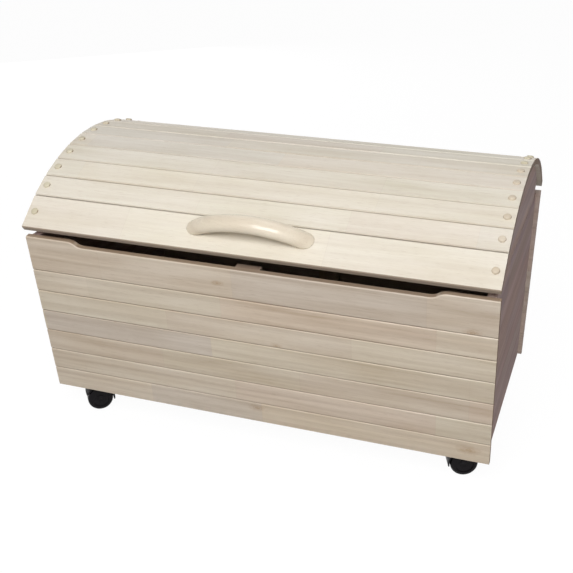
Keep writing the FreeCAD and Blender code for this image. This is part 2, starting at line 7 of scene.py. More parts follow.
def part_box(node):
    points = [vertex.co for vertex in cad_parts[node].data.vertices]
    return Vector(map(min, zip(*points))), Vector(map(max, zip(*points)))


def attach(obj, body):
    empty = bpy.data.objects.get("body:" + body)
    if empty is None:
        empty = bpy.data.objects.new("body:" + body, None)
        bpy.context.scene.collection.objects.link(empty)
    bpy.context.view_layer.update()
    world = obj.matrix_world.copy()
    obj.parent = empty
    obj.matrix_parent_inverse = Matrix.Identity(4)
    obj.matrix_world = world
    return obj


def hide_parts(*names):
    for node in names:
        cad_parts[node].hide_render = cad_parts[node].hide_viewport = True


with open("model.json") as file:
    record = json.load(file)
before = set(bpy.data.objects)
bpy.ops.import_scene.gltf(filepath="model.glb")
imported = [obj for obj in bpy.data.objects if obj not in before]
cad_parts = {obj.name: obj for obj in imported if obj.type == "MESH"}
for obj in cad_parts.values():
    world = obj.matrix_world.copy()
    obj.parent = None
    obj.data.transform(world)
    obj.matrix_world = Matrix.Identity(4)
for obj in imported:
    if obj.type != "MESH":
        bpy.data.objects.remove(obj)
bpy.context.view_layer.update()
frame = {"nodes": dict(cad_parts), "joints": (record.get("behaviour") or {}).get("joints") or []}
nodes = frame["nodes"]
joints = {joint["name"]: joint for joint in frame["joints"]}


# Caster wheels: eight solid black nylon wheels, two to a caster. Each is moulded with a rounded
# outer shoulder, a dished face and a small hub cap, and runs on the end of the caster's axle.

WHEEL_RADIUS = 0.025
WHEEL_WIDTH = 0.016
WHEEL_SIDE = 0.009
WHEEL_SHOULDER = 0.0055
WHEEL_INNER_EDGE = 0.0008
WHEEL_RIM = 0.0022
WHEEL_DISH = 0.0014
HUB_CAP_INSET = 0.0095
HUB_CAP_RISE = 0.001
HUB_CAP_RIM = 0.002
HUB_CAP_DIP = 0.0005
AXLE_RADIUS = 0.003
BORE_CLEARANCE = 0.0001
BORE_DEPTH = 0.0135
CASTERS = ("front_left", "front_right", "back_left", "back_right")


def begin(name, add, **settings):
    """Start a piece from a primitive, with nothing else selected."""
    bpy.ops.object.select_all(action="DESELECT")
    add(**settings)
    piece = bpy.context.object
    piece.name = name
    piece.data.name = name
    bpy.ops.object.transform_apply(location=True, rotation=True, scale=True)
    return piece


def edit(piece, kind, wanted):
    """Go into edit mode with only the wanted faces or edges selected, by their middle and normal."""
    if bpy.context.mode == "EDIT_MESH":
        bpy.ops.object.mode_set(mode="OBJECT")
    bpy.ops.object.select_all(action="DESELECT")
    piece.select_set(True)
    bpy.context.view_layer.objects.active = piece
    bpy.ops.object.mode_set(mode="EDIT")
    bpy.ops.mesh.select_mode(type=kind)
    bpy.ops.mesh.select_all(action="DESELECT")
    bpy.ops.object.mode_set(mode="OBJECT")
    mesh = piece.data
    if kind == "FACE":
        for face in mesh.polygons:
            face.select = wanted(face.center, face.normal)
    else:
        for edge in mesh.edges:
            first, second = (mesh.vertices[index].co for index in edge.vertices)
            edge.select = wanted((first + second) / 2, second - first)
    bpy.ops.object.mode_set(mode="EDIT")


def done(piece, angle=35):
    """Leave edit mode with outward normals and soft shading over the gentle angles."""
    bpy.ops.object.mode_set(mode="EDIT")
    bpy.ops.mesh.select_all(action="SELECT")
    bpy.ops.mesh.remove_doubles(threshold=0.00001)
    bpy.ops.mesh.normals_make_consistent(inside=False)
    bpy.ops.object.mode_set(mode="OBJECT")
    bpy.ops.object.shade_smooth_by_angle(angle=math.radians(angle))


def copy_to(master, name, place):
    """A copy of a piece with a mesh of its own, put in place."""
    piece = master.copy()
    piece.data = master.data.copy()
    piece.name = name
    piece.data.name = name
    piece.data.transform(place)
    bpy.context.scene.collection.objects.link(piece)
    return piece


def join(name, pieces):
    """Several copies made one piece."""
    bpy.ops.object.select_all(action="DESELECT")
    for piece in pieces:
        piece.select_set(True)
    bpy.context.view_layer.objects.active = pieces[0]
    bpy.ops.object.join()
    pieces[0].name = name
    pieces[0].data.name = name
    return pieces[0]


def drop(piece):
    """Remove a master that has been copied."""
    bpy.data.objects.remove(piece)


def dress(piece, material):
    piece.data.materials.clear()
    piece.data.materials.append(material)


def node(tree, kind, inputs=None, **settings):
    """Add a shader node, with values for its inputs: a socket of another node, or a plain value."""
    made = tree.nodes.new(kind)
    for key, value in settings.items():
        setattr(made, key, value)
    for key, value in (inputs or {}).items():
        if isinstance(value, bpy.types.NodeSocket):
            tree.links.new(value, made.inputs[key])
        else:
            made.inputs[key].default_value = value
    return made


def new_material(name):
    """A material with an empty tree, its output and its Principled shader."""
    material = bpy.data.materials.new(name)
    material.use_nodes = True
    tree = material.node_tree
    tree.nodes.clear()
    shader = node(tree, "ShaderNodeBsdfPrincipled")
    output = node(tree, "ShaderNodeOutputMaterial")
    tree.links.new(shader.outputs["BSDF"], output.inputs["Surface"])
    return material, tree, shader


def black_nylon(name, colour, roughness):
    """Moulded black nylon with a fine spark-eroded skin and faint grey scuffs."""
    material, tree, shader = new_material(name)
    place = node(tree, "ShaderNodeTexCoord").outputs["Object"]
    scuffs = node(tree, "ShaderNodeTexNoise",
                  {"Vector": place, "Scale": 140.0, "Detail": 6.0, "Roughness": 0.7})
    worn = node(tree, "ShaderNodeValToRGB", {"Fac": scuffs.outputs["Fac"]})
    worn.color_ramp.elements[0].position = 0.52
    worn.color_ramp.elements[0].color = (*colour, 1)
    worn.color_ramp.elements[1].position = 0.8
    worn.color_ramp.elements[1].color = (*(0.010 + 1.6 * part for part in colour), 1)
    skin = node(tree, "ShaderNodeTexNoise", {"Vector": place, "Scale": 2600.0, "Detail": 2.0})
    bump = node(tree, "ShaderNodeBump", {"Height": skin.outputs["Fac"], "Strength": 0.12, "Distance": 0.0002})
    dull = node(tree, "ShaderNodeMath", {0: scuffs.outputs["Fac"], 1: 0.25, 2: roughness - 0.12},
                operation="MULTIPLY_ADD")
    tree.links.new(worn.outputs["Color"], shader.inputs["Base Color"])
    tree.links.new(dull.outputs["Value"], shader.inputs["Roughness"])
    tree.links.new(bump.outputs["Normal"], shader.inputs["Normal"])
    shader.inputs["Specular IOR Level"].default_value = 0.14
    return material


wheel = begin("wheel", bpy.ops.mesh.primitive_cylinder_add, vertices=64, radius=WHEEL_RADIUS, depth=WHEEL_WIDTH,
              location=(0, 0, WHEEL_WIDTH / 2))
edit(wheel, "EDGE", lambda middle, run: middle.z > WHEEL_WIDTH - 1e-5)
bpy.ops.mesh.bevel(offset=WHEEL_SHOULDER, segments=6)
edit(wheel, "EDGE", lambda middle, run: middle.z < 1e-5)
bpy.ops.mesh.bevel(offset=WHEEL_INNER_EDGE, segments=2)
edit(wheel, "FACE", lambda middle, normal: normal.z > 0.9 and middle.xy.length < 0.001)
bpy.ops.mesh.inset(thickness=WHEEL_RIM)
bpy.ops.mesh.extrude_region_move(TRANSFORM_OT_translate={"value": (0, 0, -WHEEL_DISH)})
bpy.ops.mesh.inset(thickness=HUB_CAP_INSET)
bpy.ops.mesh.extrude_region_move(TRANSFORM_OT_translate={"value": (0, 0, HUB_CAP_RISE)})
bpy.ops.mesh.inset(thickness=HUB_CAP_RIM)
bpy.ops.mesh.extrude_region_move(TRANSFORM_OT_translate={"value": (0, 0, -HUB_CAP_DIP)})
edit(wheel, "FACE", lambda middle, normal: normal.z < -0.9 and middle.xy.length < 0.001)
bpy.ops.mesh.inset(thickness=WHEEL_RADIUS - WHEEL_INNER_EDGE - AXLE_RADIUS - BORE_CLEARANCE)
bpy.ops.mesh.extrude_region_move(TRANSFORM_OT_translate={"value": (0, 0, BORE_DEPTH)})
done(wheel)
wheel_nylon = black_nylon("wheel_nylon", (0.005, 0.004, 0.005), 0.38)
dress(wheel, wheel_nylon)
for caster in CASTERS:
    for number, side in ((1, 1), (2, -1)):
        spin = joints[f"spin_{caster}_{number}"]
        across = side * Vector(spin["axis"])
        place = Matrix.Translation(Vector(spin["pos_m"]) + WHEEL_SIDE * across)
        turned = across.to_track_quat("Z", "Y").to_matrix().to_4x4()
        piece = copy_to(wheel, f"wheel_{caster}_{number}", place @ turned)
        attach(piece, f"wheel_{caster}_{number}")
        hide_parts(f"caster_wheel_{caster}_{number}")
drop(wheel)


# Caster hoods: a black moulding that swivels under each plate. A half-round band covers the wheels,
# a web between them carries the axle, and a boss at the front end turns on the plate's stem.

HOOD_OUTER = 0.029
HOOD_WALL = 0.0025
HOOD_WIDTH = 0.050
WEB_WIDTH = 0.016
CASTER_TRAIL = 0.018
HOOD_START = math.radians(30)
HOOD_TURN = math.radians(160)
HOOD_CORNER = 0.0009
WEB_INNER = 0.004
HUB_RADIUS = 0.009
HUB_PROUD = 0.0008
HUB_EDGE = 0.0004
BOSS_RADIUS = 0.0085
BOSS_LENGTH = 0.0362
BOSS_MIDDLE = 0.0384
BOSS_EDGE = 0.0008


def spun_band(name, inner, outer, width, corner):
    """A flat section, with its corners rounded, swept round the axle."""
    band = begin(name, bpy.ops.mesh.primitive_plane_add, size=1)
    stretched = Matrix.Diagonal((outer - inner, width, 1, 1))
    band.data.transform(Matrix.Translation(((inner + outer) / 2, 0, 0)) @ stretched)
    edit(band, "FACE", lambda middle, normal: True)
    if corner:
        bpy.ops.mesh.bevel(affect="VERTICES", offset=corner, segments=3)
        bpy.ops.mesh.select_all(action="SELECT")
    bpy.ops.mesh.spin(steps=32, angle=HOOD_TURN, center=(0, 0, 0), axis=(0, 1, 0))
    done(band)
    return band


band = spun_band("hood", HOOD_OUTER - HOOD_WALL, HOOD_OUTER, HOOD_WIDTH, HOOD_CORNER)
web = spun_band("web", WEB_INNER, HOOD_OUTER - HOOD_WALL / 2, WEB_WIDTH, 0)
hub = begin("hub", bpy.ops.mesh.primitive_cylinder_add, vertices=40, radius=HUB_RADIUS,
            depth=WEB_WIDTH + HUB_PROUD, rotation=(math.pi / 2, 0, 0))
edit(hub, "EDGE", lambda middle, run: abs(run.y) < 1e-6)
bpy.ops.mesh.bevel(offset=HUB_EDGE, segments=2)
done(hub)
hood = join("hood", [band, web, hub])
hood.data.transform(Matrix.Translation((CASTER_TRAIL, 0, WHEEL_RADIUS))
                    @ Matrix.Rotation(-HOOD_START, 4, "Y"))
boss = begin("boss", bpy.ops.mesh.primitive_cylinder_add, vertices=40, radius=BOSS_RADIUS, depth=BOSS_LENGTH,
             location=(0, 0, BOSS_MIDDLE))
edit(boss, "EDGE", lambda middle, run: abs(run.z) < 1e-6)
bpy.ops.mesh.bevel(offset=BOSS_EDGE, segments=2)
done(boss)
hood = join("hood", [hood, boss])
hood_nylon = black_nylon("hood_nylon", (0.006, 0.0045, 0.006), 0.32)
dress(hood, hood_nylon)
for caster in CASTERS:
    swivel = Vector(joints[f"swivel_{caster}"]["pos_m"])
    axle = Vector(joints[f"spin_{caster}_1"]["pos_m"])
    heading = math.atan2(axle.y - swivel.y, axle.x - swivel.x)
    place = Matrix.Translation((swivel.x, swivel.y, 0)) @ Matrix.Rotation(heading, 4, "Z")
    piece = copy_to(hood, f"hood_{caster}", place)
    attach(piece, f"caster_{caster}")
    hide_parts(f"caster_hood_{caster}")
drop(hood)


# Caster plates and axles: zinc-plated pressed steel. Each plate has a riveted swivel stem and is
# screwed up into a bearer; each axle is pressed through its hood.


def zinc(name, colour, roughness):
    """Zinc plating: grey metal with a faint spangle and brushed haze."""
    material, tree, shader = new_material(name)
    place = node(tree, "ShaderNodeTexCoord").outputs["Object"]
    spangle = node(tree, "ShaderNodeTexVoronoi", {"Vector": place, "Scale": 420.0, "Randomness": 1.0})
    haze = node(tree, "ShaderNodeTexNoise", {"Vector": place, "Scale": 90.0, "Detail": 5.0})
    tint = node(tree, "ShaderNodeMix", {"Factor": spangle.outputs["Distance"]}, data_type="RGBA")
    tint.inputs["A"].default_value = (*colour, 1)
    tint.inputs["B"].default_value = (*(0.78 * part for part in colour), 1)
    dull = node(tree, "ShaderNodeMath", {0: haze.outputs["Fac"], 1: 0.3, 2: roughness - 0.15},
                operation="MULTIPLY_ADD")
    bump = node(tree, "ShaderNodeBump", {"Height": haze.outputs["Fac"], "Strength": 0.06, "Distance": 0.0003})
    tree.links.new(tint.outputs["Result"], shader.inputs["Base Color"])
    tree.links.new(dull.outputs["Value"], shader.inputs["Roughness"])
    tree.links.new(bump.outputs["Normal"], shader.inputs["Normal"])
    shader.inputs["Metallic"].default_value = 0.95
    return material


PLATE_THICKNESS = 0.0025
plate_zinc = zinc("plate_zinc", (0.62, 0.63, 0.64), 0.38)
dress(nodes["caster_plates"], plate_zinc)
for caster in CASTERS:
    dress(nodes[f"caster_axle_{caster}"], plate_zinc)


# Screws of the caster plates: a pan-head steel screw near each corner of a plate, driven up into the
# bearer. Each head has a rounded rim and a cross recess for the driver.

SCREW_RADIUS = 0.0042
SCREW_HEIGHT = 0.0016
RECESS_WIDTH = 0.0009
PLATE_SCREW_REACH = 0.022


def cross_screw(name):
    """A screw head standing on the plane z = 0, with its recess cut by two crossed blades."""
    head = begin(name, bpy.ops.mesh.primitive_cylinder_add, vertices=32, radius=SCREW_RADIUS,
                 depth=SCREW_HEIGHT, location=(0, 0, SCREW_HEIGHT / 2))
    edit(head, "EDGE", lambda middle, run: middle.z > SCREW_HEIGHT - 1e-6)
    bpy.ops.mesh.bevel(offset=SCREW_HEIGHT * 0.55, segments=4)
    done(head)
    for turn in (0, math.pi / 2):
        blade = begin("blade", bpy.ops.mesh.primitive_cube_add, size=1)
        blade.data.transform(Matrix.Translation((0, 0, SCREW_HEIGHT)) @ Matrix.Rotation(turn, 4, "Z")
                             @ Matrix.Diagonal((1.1 * SCREW_RADIUS, RECESS_WIDTH, SCREW_HEIGHT, 1)))
        cut = head.modifiers.new("recess", "BOOLEAN")
        cut.operation = "DIFFERENCE"
        cut.object = blade
        bpy.context.view_layer.objects.active = head
        bpy.ops.object.modifier_apply(modifier=cut.name)
        drop(blade)
    return head


screw = cross_screw("screw")
screw_zinc = zinc("screw_zinc", (0.55, 0.54, 0.52), 0.3)
dress(screw, screw_zinc)
plate_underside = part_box("caster_plates")[1].z - PLATE_THICKNESS
heads = []
for caster in CASTERS:
    swivel = joints[f"swivel_{caster}"]["pos_m"]
    for along, back in ((-1, -1), (1, -1), (1, 1), (-1, 1)):
        x = swivel[0] + along * PLATE_SCREW_REACH
        y = swivel[1] + back * PLATE_SCREW_REACH
        place = Matrix.Translation((x, y, plate_underside))
        driven = Matrix.Rotation(math.pi, 4, "X") @ Matrix.Rotation(0.7 * len(heads), 4, "Z")
        heads.append(copy_to(screw, "head", place @ driven))
plate_screws = join("caster_plate_screws", heads)
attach(plate_screws, "chest")


# Bearers and floor: two flat bearers run across under the floor panel and carry the casters. They are
# cut from the same pale limed hardwood, glued up from short staves.

ALONG = (1, 0, 0)
BACK = (0, 1, 0)
UP = (0, 0, 1)
INNER_TONE = (0.60, 0.51, 0.41)
WHOLE_BOARD = 5.0
SAWN_END = (0.52, 0.44, 0.42, 1)
# Painted shade colours: the first darkens the edge faces that look up across a board, shaded by the board above
# or the lid; the second darkens the down-facing bevels and edges in the joints.
EDGE_PAINTED_SHADE = (0.60, 0.52, 0.46, 1)
GROOVE_PAINTED_SHADE = (0.42, 0.35, 0.31, 1)


def limed_wood_group():
    """The limed hardwood: staves of mixed tone end to end, long grain, short pores and a white haze."""
    tree = bpy.data.node_groups.new("limed_wood", "ShaderNodeTree")
    for name, kind, start in (
        ("Board", "NodeSocketVector", (0, 0, 0)),
        ("Seed", "NodeSocketFloat", 0.0),
        ("Stave Length", "NodeSocketFloat", 0.3),
        ("Stave Width", "NodeSocketFloat", 0.05),
        ("Tone", "NodeSocketColor", (0.6, 0.5, 0.4, 1)),
        ("Variety", "NodeSocketFloat", 1.0),
        ("Figure", "NodeSocketFloat", 1.0),
        ("Lime", "NodeSocketFloat", 0.3),
        ("Dullness", "NodeSocketFloat", 0.4),
    ):
        tree.interface.new_socket(name, in_out="INPUT", socket_type=kind).default_value = start
    for name, kind in (
        ("Color", "NodeSocketColor"),
        ("Roughness", "NodeSocketFloat"),
        ("Height", "NodeSocketFloat"),
    ):
        tree.interface.new_socket(name, in_out="OUTPUT", socket_type=kind)
    given = node(tree, "NodeGroupInput").outputs
    board = node(tree, "ShaderNodeSeparateXYZ", {"Vector": given["Board"]}).outputs

    def maths(operation, *values):
        return node(tree, "ShaderNodeMath", dict(enumerate(values)), operation=operation).outputs["Value"]

    def noise(along, across, through, **settings):
        scale = (along, across, through)
        stretched = node(tree, "ShaderNodeVectorMath", {0: given["Board"], 1: scale}, operation="MULTIPLY")
        shift = node(tree, "ShaderNodeCombineXYZ", {"X": seed, "Y": seed, "Z": seed})
        moved = node(tree, "ShaderNodeVectorMath", {0: stretched.outputs["Vector"], 1: shift.outputs["Vector"]},
                     operation="ADD")
        texture = node(tree, "ShaderNodeTexNoise",
                       {"Vector": moved.outputs["Vector"], "Scale": 1.0, **settings})
        return texture.outputs["Fac"]

    def band(value, low, high):
        ramp = node(tree, "ShaderNodeMapRange", {"Value": value, "From Min": low, "From Max": high},
                    clamp=True)
        return ramp.outputs["Result"]

    def mixed(kind, amount, first, second):
        return node(tree, "ShaderNodeMix", {"Factor": amount, "A": first, "B": second}, data_type="RGBA",
                    blend_type=kind).outputs["Result"]

    seed = maths("MULTIPLY", given["Seed"], 7.31)
    rows = maths("ADD", maths("DIVIDE", board["Y"], given["Stave Width"]), given["Seed"])
    row = maths("FLOOR", rows)
    within = maths("FRACT", rows)
    nearest = maths("MINIMUM", within, maths("SUBTRACT", 1.0, within))
    side_gap = maths("MULTIPLY", nearest, given["Stave Width"])
    shifted = maths("MULTIPLY_ADD", row, 5.77, seed)
    along = maths("ADD", maths("DIVIDE", board["X"], given["Stave Length"]), shifted)
    stave = {"W": along, "Scale": 1.0, "Randomness": 0.9}
    chance = node(tree, "ShaderNodeTexVoronoi", stave, voronoi_dimensions="1D").outputs["Color"]
    edge = node(tree, "ShaderNodeTexVoronoi", stave, voronoi_dimensions="1D", feature="DISTANCE_TO_EDGE")
    end_gap = maths("MULTIPLY", edge.outputs["Distance"], given["Stave Length"])
    pick = node(tree, "ShaderNodeSeparateColor", {"Color": chance}).outputs["Red"]
    tint = node(tree, "ShaderNodeValToRGB", {"Fac": pick})
    ramp = tint.color_ramp
    ramp.elements[0].color = (0.88, 0.89, 0.92, 1)
    ramp.elements[1].color = (1.0, 0.99, 0.96, 1)
    for position, colour in (
        (0.25, (1.0, 0.97, 0.89, 1)),
        (0.5, (0.93, 0.88, 0.86, 1)),
        (0.75, (0.95, 0.98, 0.92, 1)),
    ):
        ramp.elements.new(position).color = colour

    streaks = noise(2.2, 75.0, 45.0, Detail=5.0, Roughness=0.62, Distortion=0.4)
    grain = band(streaks, 0.38, 0.72)
    figure = band(noise(1.3, 16.0, 12.0, Detail=3.0, Roughness=0.5, Distortion=1.2), 0.42, 0.7)
    pores = band(noise(55.0, 1300.0, 900.0, Detail=2.0, Roughness=0.5), 0.6, 0.75)
    haze = band(noise(5.0, 22.0, 14.0, Detail=4.0, Roughness=0.6), 0.25, 0.7)
    seam = maths("SUBTRACT", 1.0, band(maths("MINIMUM", side_gap, end_gap), 0.0, 0.0007))
    toned = mixed("MULTIPLY", given["Variety"], given["Tone"], tint.outputs["Color"])
    shown = maths("MULTIPLY", given["Figure"], 0.5)
    grained = mixed("MULTIPLY", maths("MULTIPLY", grain, shown), toned, (0.72, 0.66, 0.60, 1))
    figured = mixed("MULTIPLY", maths("MULTIPLY", figure, shown), grained, (0.88, 0.84, 0.80, 1))
    limed = mixed("MIX", maths("MULTIPLY", haze, given["Lime"]), figured, (0.87, 0.83, 0.76, 1))
    pored = mixed("MULTIPLY", maths("MULTIPLY", pores, 0.55), limed, (0.66, 0.58, 0.52, 1))
    jointed = mixed("MULTIPLY", maths("MULTIPLY", seam, 0.15), pored, (0.60, 0.52, 0.46, 1))
    height = maths("SUBTRACT", maths("MULTIPLY", grain, -0.5), maths("MULTIPLY_ADD", seam, 0.4, pores))
    rough = maths("MULTIPLY_ADD", grain, 0.12, given["Dullness"])
    node(tree, "NodeGroupOutput", {"Color": jointed, "Roughness": rough, "Height": height})
    return tree


def knot_group():
    """A small knot: a brown eye with fine rings, drawn out along the grain."""
    tree = bpy.data.node_groups.new("knot", "ShaderNodeTree")
    for name, kind in (
        ("Color", "NodeSocketColor"),
        ("Board", "NodeSocketVector"),
        ("Along", "NodeSocketFloat"),
        ("Across", "NodeSocketFloat"),
        ("Size", "NodeSocketFloat"),
    ):
        tree.interface.new_socket(name, in_out="INPUT", socket_type=kind)
    tree.interface.new_socket("Color", in_out="OUTPUT", socket_type="NodeSocketColor")
    given = node(tree, "NodeGroupInput").outputs
    centre = node(tree, "ShaderNodeCombineXYZ", {"X": given["Along"], "Y": given["Across"]})
    offset = node(tree, "ShaderNodeVectorMath", {0: given["Board"], 1: centre.outputs["Vector"]},
                  operation="SUBTRACT")
    drawn = node(tree, "ShaderNodeVectorMath", {0: offset.outputs["Vector"], 1: (0.5, 1, 0)},
                 operation="MULTIPLY")
    away = node(tree, "ShaderNodeVectorMath", {0: drawn.outputs["Vector"]}, operation="LENGTH").outputs["Value"]
    wobble = node(tree, "ShaderNodeTexNoise", {"Vector": given["Board"], "Scale": 160.0, "Detail": 2.0})
    reach = node(tree, "ShaderNodeMath", {0: away, 1: given["Size"]}, operation="DIVIDE").outputs["Value"]
    uneven = node(tree, "ShaderNodeMath", {0: wobble.outputs["Fac"], 1: 0.7, 2: reach},
                  operation="MULTIPLY_ADD")
    rings = node(tree, "ShaderNodeMath", {0: uneven.outputs["Value"], 1: 0.18}, operation="PINGPONG")
    eye = node(tree, "ShaderNodeMapRange",
               {"Value": uneven.outputs["Value"], "From Min": 1.5, "From Max": 0.5})
    ringed = node(tree, "ShaderNodeMath", {0: rings.outputs["Value"], 1: 2.2, 2: 0.45},
                  operation="MULTIPLY_ADD")
    amount = node(tree, "ShaderNodeMath", {0: eye.outputs["Result"], 1: ringed.outputs["Value"]},
                  operation="MULTIPLY")
    brown = node(tree, "ShaderNodeMix", {"Factor": amount.outputs["Value"], "A": given["Color"],
                                         "B": (0.70, 0.58, 0.46, 1)}, data_type="RGBA", blend_type="MULTIPLY")
    node(tree, "NodeGroupOutput", {"Color": brown.outputs["Result"]})
    return tree


limed_wood = limed_wood_group()
knot = knot_group()


def wood(name, seed, grain, across, tone, knots=(), sheen=0.3, painted_groove_shade=0.0, **finishes):
    """Limed wood for one board: its seed, which way its grain and its width run, its tone and its finish.
    Sawn ends are darker and dull. By the given amount, painted shade darkens a board's long edges and its lower
    bevel, where shade falls in the joints between boards."""
    material, tree, shader = new_material(name)
    point = node(tree, "ShaderNodeTexCoord").outputs
    through = Vector(grain).cross(Vector(across))
    lengths = [node(tree, "ShaderNodeVectorMath", {0: point["Object"], 1: tuple(way)},
                    operation="DOT_PRODUCT").outputs["Value"] for way in (grain, across, through)]
    board = node(tree, "ShaderNodeCombineXYZ", dict(zip("XYZ", lengths))).outputs["Vector"]
    finish = node(tree, "ShaderNodeGroup", node_tree=limed_wood)
    tree.links.new(board, finish.inputs["Board"])
    plain = {"seed": seed, "tone": (*tone, 1), "stave_length": 0.34, "stave_width": WHOLE_BOARD, "lime": 0.2}
    for key, value in {**plain, **finishes}.items():
        finish.inputs[key.replace("_", " ").title()].default_value = value
    colour = finish.outputs["Color"]
    for along, up, size in knots:
        eye = node(tree, "ShaderNodeGroup", node_tree=knot)
        tree.links.new(colour, eye.inputs["Color"])
        tree.links.new(board, eye.inputs["Board"])
        for socket, value in (("Along", along), ("Across", up), ("Size", size)):
            eye.inputs[socket].default_value = value
        colour = eye.outputs["Color"]
    facing = node(tree, "ShaderNodeVectorMath", {0: point["Normal"], 1: tuple(grain)}, operation="DOT_PRODUCT")
    square = node(tree, "ShaderNodeMath", {0: facing.outputs["Value"], 1: 2.0}, operation="POWER")
    sawn = node(tree, "ShaderNodeMapRange",
                {"Value": square.outputs["Value"], "From Min": 0.7, "From Max": 0.8})
    # Painted shade: how far each face looks up or down across the board picks the shaded edges and lower bevels
    # to darken.
    painted_shade_facing = node(tree, "ShaderNodeVectorMath", {0: point["Normal"], 1: tuple(across)}, operation="DOT_PRODUCT")
    colour = node(tree, "ShaderNodeMix", {"Factor": sawn.outputs["Result"], "A": colour, "B": SAWN_END},
                  data_type="RGBA", blend_type="MULTIPLY").outputs["Result"]
    for start, end, shade in ((0.8, 0.9, EDGE_PAINTED_SHADE), (-0.4, -0.6, GROOVE_PAINTED_SHADE)):
        edge = node(tree, "ShaderNodeMapRange", {"Value": painted_shade_facing.outputs["Value"], "From Min": start,
                                                 "From Max": end, "To Max": painted_groove_shade})
        colour = node(tree, "ShaderNodeMix", {"Factor": edge.outputs["Result"], "A": colour, "B": shade},
                      data_type="RGBA", blend_type="MULTIPLY").outputs["Result"]
    bump = node(tree, "ShaderNodeBump",
                {"Height": finish.outputs["Height"], "Strength": 0.18, "Distance": 0.0004})
    tree.links.new(colour, shader.inputs["Base Color"])
    dull = node(tree, "ShaderNodeMath", {0: finish.outputs["Roughness"], 1: sawn.outputs["Result"]},
                operation="MAXIMUM")
    tree.links.new(dull.outputs["Value"], shader.inputs["Roughness"])
    tree.links.new(bump.outputs["Normal"], shader.inputs["Normal"])
    shader.inputs["Specular IOR Level"].default_value = sheen
    return material


dress(nodes["caster_bearers"], wood("bearer_wood", 3.1, BACK, ALONG, INNER_TONE))
dress(nodes["floor_panel"], wood("floor_wood", 8.4, ALONG, BACK, INNER_TONE, stave_width=0.06))


# End panels: two upright panels of staves glued edge to edge, with the grain running from front to
# back. Their slanted edges carry the boards of the front and back walls.

END_TONE = (0.63, 0.505, 0.495)
END_STAVE = 0.042
for number, side in enumerate(("left", "right")):
    panel = wood(f"end_wood_{side}", 21.3 + 3.7 * number, BACK, UP, END_TONE, sheen=0.0, stave_width=END_STAVE,
                 figure=1.5, lime=0.1)
    dress(nodes[f"end_panel_{side}"], panel)


# Front and back walls: six narrow boards and a wide top board each, laid lengthwise over the edges of
# the end panels. Their outer edges are bevelled, so the joints show as fine grooves, darkened further with
# painted shade.

FRONT_TONE = (0.655, 0.57, 0.46)
# The back boards are toned darker than the front ones: painted shade, for their overhanging ends that stand in
# shadow beside the end panels.
BACK_PAINTED_SHADE_TONE = (0.60, 0.51, 0.455)
WALL_LEAN = math.radians(8.97)
FRONT_KNOTS = {
    "front_slat_1": ((-0.002, 0.126, 0.008), (0.388, 0.119, 0.011)),
    "front_slat_5": ((0.046, 0.277, 0.006),),
    "front_top_board": ((-0.054, 0.392, 0.006), (0.385, 0.367, 0.008)),
}
for side, sign, tone in (("front", -1, FRONT_TONE), ("back", 1, BACK_PAINTED_SHADE_TONE)):
    up_wall = (0, sign * math.sin(WALL_LEAN), math.cos(WALL_LEAN))
    for number, name in enumerate([f"{side}_slat_{row}" for row in range(1, 7)] + [f"{side}_top_board"]):
        board = wood(f"{name}_wood", 31.7 + 2.9 * number + 20 * (sign + 1), ALONG, up_wall, tone,
                     FRONT_KNOTS.get(name, ()), figure=1.8, painted_groove_shade=1.0)
        dress(nodes[name], board)


# Battens and hinge rails: plain strips screwed to the insides of the walls and the lid, from the same wood.

for number, name in enumerate(("front_centre_batten", "back_centre_batten")):
    dress(nodes[name], wood(f"{name}_wood", 71.5 + 4 * number, UP, ALONG, INNER_TONE, lime=0.1))
for number, name in enumerate(("wall_hinge_rail", "lid_hinge_rail")):
    dress(nodes[name], wood(f"{name}_wood", 81.5 + 4 * number, ALONG, UP, INNER_TONE, lime=0.1))


# Hinges: two zinc-plated butt hinges with loose steel pins. Three screws hold each leaf to its rail.

LEAF_THICKNESS = 0.0015
LEAF_SCREW_INSET = 0.014
LEAF_SCREW_SPACING = 0.020
HALF_HINGE = 0.030
hinge_zinc = zinc("hinge_zinc", (0.66, 0.65, 0.61), 0.34)
for name in ("hinge_base_leaves", "hinge_lid_leaves", "hinge_pins"):
    dress(nodes[name], hinge_zinc)
pin = Vector(joints["lid_hinge"]["pos_m"])
low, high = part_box("hinge_base_leaves")
hinge_x = (high.x - low.x) / 2 - HALF_HINGE
shallow = Matrix.Diagonal((0.85, 0.85, 0.6, 1))
for leaf, body, leaf_z, turn in (
    ("base", "chest", low.z + LEAF_THICKNESS, 0),
    ("lid", "lid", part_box("hinge_lid_leaves")[1].z - LEAF_THICKNESS, math.pi),
):
    heads = []
    for middle in (-hinge_x, hinge_x):
        for step in (-1, 0, 1):
            place = Matrix.Translation((middle + step * LEAF_SCREW_SPACING, pin.y - LEAF_SCREW_INSET, leaf_z))
            driven = Matrix.Rotation(turn, 4, "X") @ Matrix.Rotation(0.9 * len(heads), 4, "Z")
            heads.append(copy_to(screw, "head", place @ driven @ shallow))
    leaf_screws = join(f"hinge_{leaf}_screws", heads)
    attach(leaf_screws, body)
drop(screw)


# Lid end boards: two arched boards with a flat for every slat, glued up like the end panels but paler.

LID_END_TONE = (0.70, 0.58, 0.56)
for number, side in enumerate(("left", "right")):
    board = wood(f"lid_end_wood_{side}", 91.3 + 3.7 * number, BACK, UP, LID_END_TONE, sheen=0.0,
                 stave_width=END_STAVE, figure=1.5, lime=0.1)
    dress(nodes[f"lid_end_board_{side}"], board)
